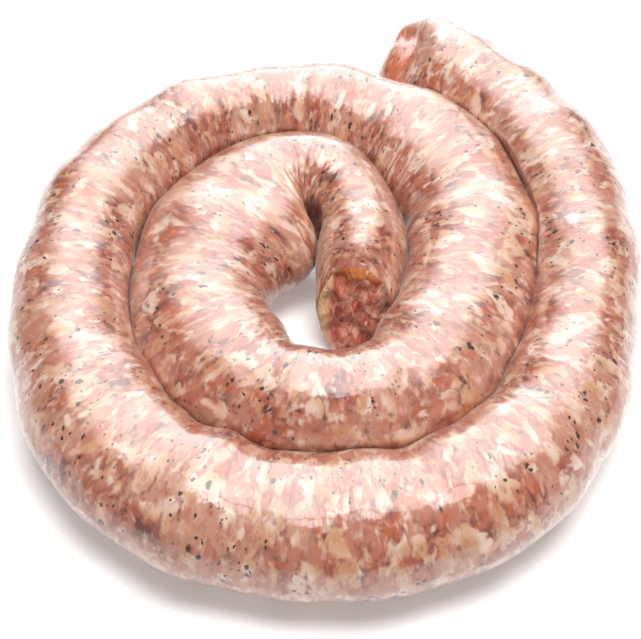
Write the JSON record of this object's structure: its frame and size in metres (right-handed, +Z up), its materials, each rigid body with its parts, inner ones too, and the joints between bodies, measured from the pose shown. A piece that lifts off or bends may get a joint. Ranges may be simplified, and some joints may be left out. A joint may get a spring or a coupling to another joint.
{
  "type": "coiled rope sausage",
  "caption": "Long fresh coarse-ground pork sausage in a natural casing, wound flat into a round coil with an open cut end in the middle and a rounded tail outside.",
  "frame": {"origin": "on the table, under the middle of the whole outline", "axes": "+Z up; -Y towards the front of the coil; the tail ends at the back right, +X and +Y"},
  "size_m": [0.1515, 0.167, 0.0314],
  "materials": {
    "sausage": "moist, gloss, mottled pink and cream"
  },
  "bodies": {
    "root": {"sausage_coil": "sausage"}
  },
  "joints": []
}
